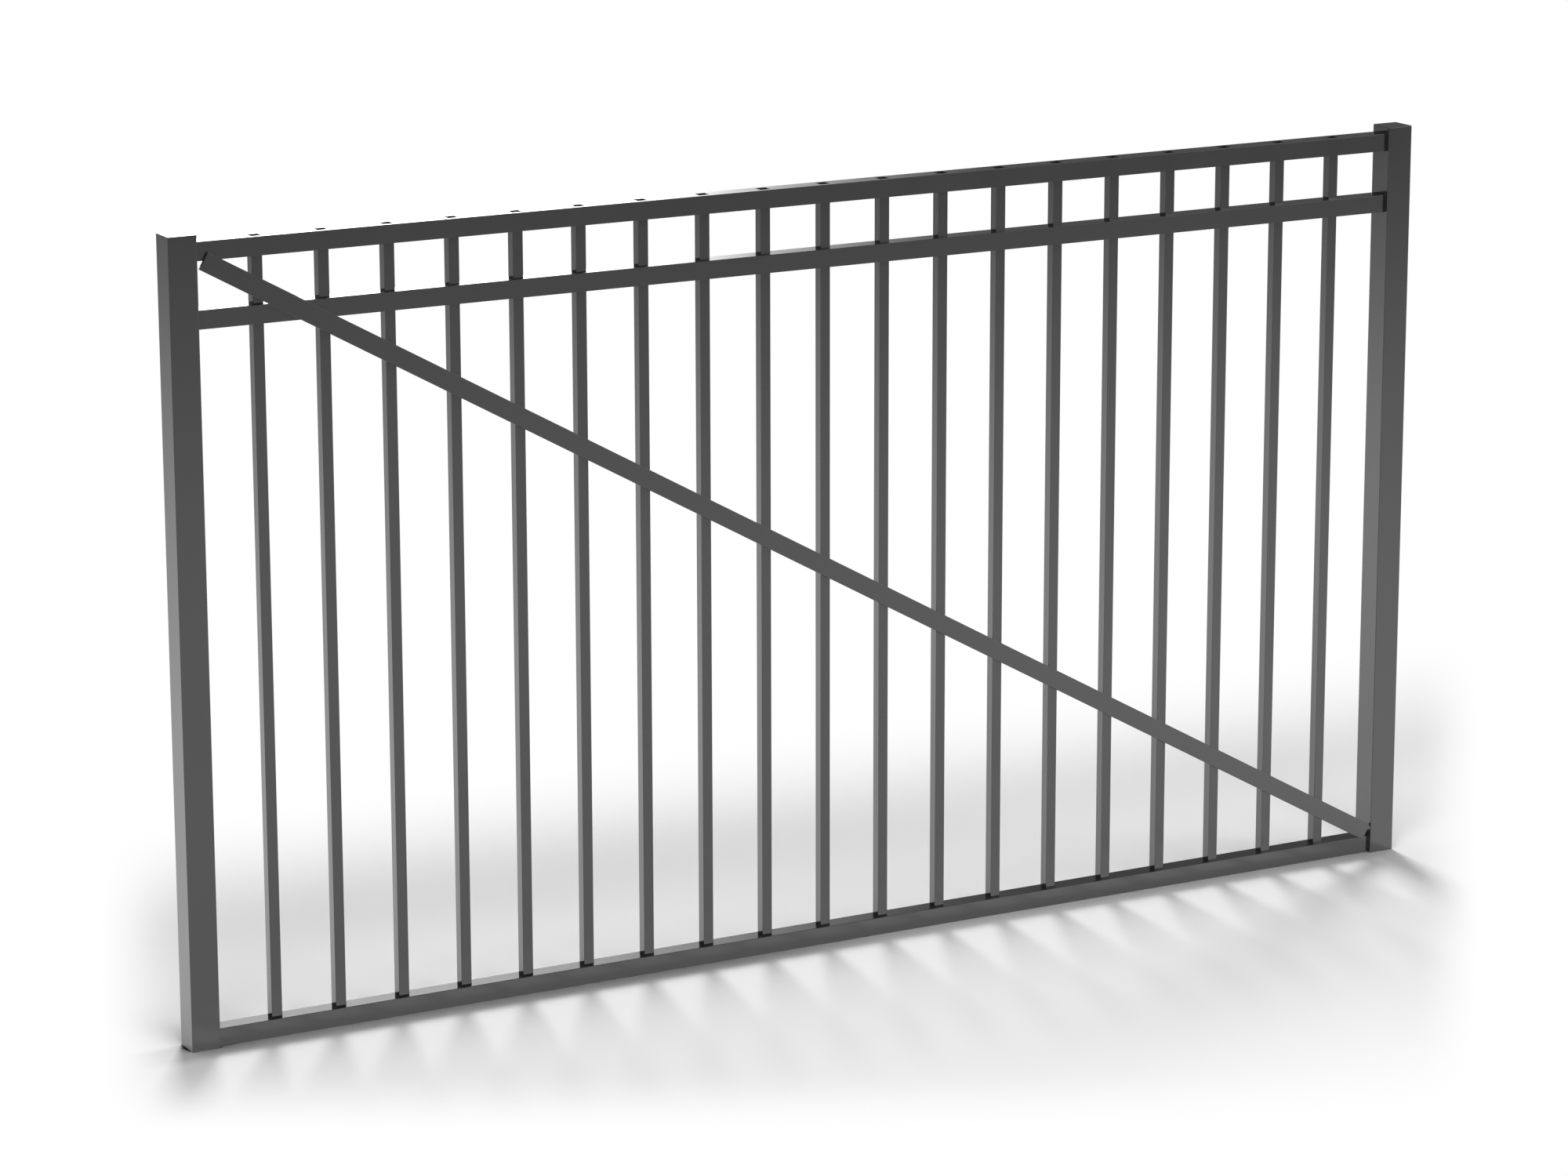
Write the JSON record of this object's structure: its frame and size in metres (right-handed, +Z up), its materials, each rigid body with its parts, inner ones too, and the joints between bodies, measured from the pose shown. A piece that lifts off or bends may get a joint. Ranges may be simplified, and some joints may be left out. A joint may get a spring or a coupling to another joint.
{
  "type": "pool fence gate",
  "caption": "Wide picket gate leaf for a pool fence: square uprights, punched channel rails, slim pickets through them and a diagonal brace.",
  "frame": {"origin": "on the outer face of the hinge upright, in the middle of its depth, at the foot of the gate", "axes": "+X along the leaf and out of the hinge upright's outer face, so the leaf lies at negative X; +Y from the front, where the brace is, to the back; +Z up"},
  "size_m": [2.4448, 0.0508, 1.3843],
  "materials": {
    "frame_coat": "satin black powder coat",
    "rail_coat": "satin black powder coat",
    "picket_coat": "satin black powder coat",
    "cap_coat": "satin black powder coat"
  },
  "bodies": {
    "root": {"latch_upright": "frame_coat", "hinge_upright": "frame_coat", "latch_upright_cap": "cap_coat", "hinge_upright_cap": "cap_coat", "top_rail": "rail_coat", "middle_rail": "rail_coat", "bottom_rail": "rail_coat", "diagonal_brace": "rail_coat", "picket_01": "picket_coat", "picket_02": "picket_coat", "picket_03": "picket_coat", "picket_04": "picket_coat", "picket_05": "picket_coat", "picket_06": "picket_coat", "picket_07": "picket_coat", "picket_08": "picket_coat", "picket_09": "picket_coat", "picket_10": "picket_coat", "picket_11": "picket_coat", "picket_12": "picket_coat", "picket_13": "picket_coat", "picket_14": "picket_coat", "picket_15": "picket_coat", "picket_16": "picket_coat", "picket_17": "picket_coat", "picket_18": "picket_coat", "picket_19": "picket_coat"}
  },
  "joints": []
}
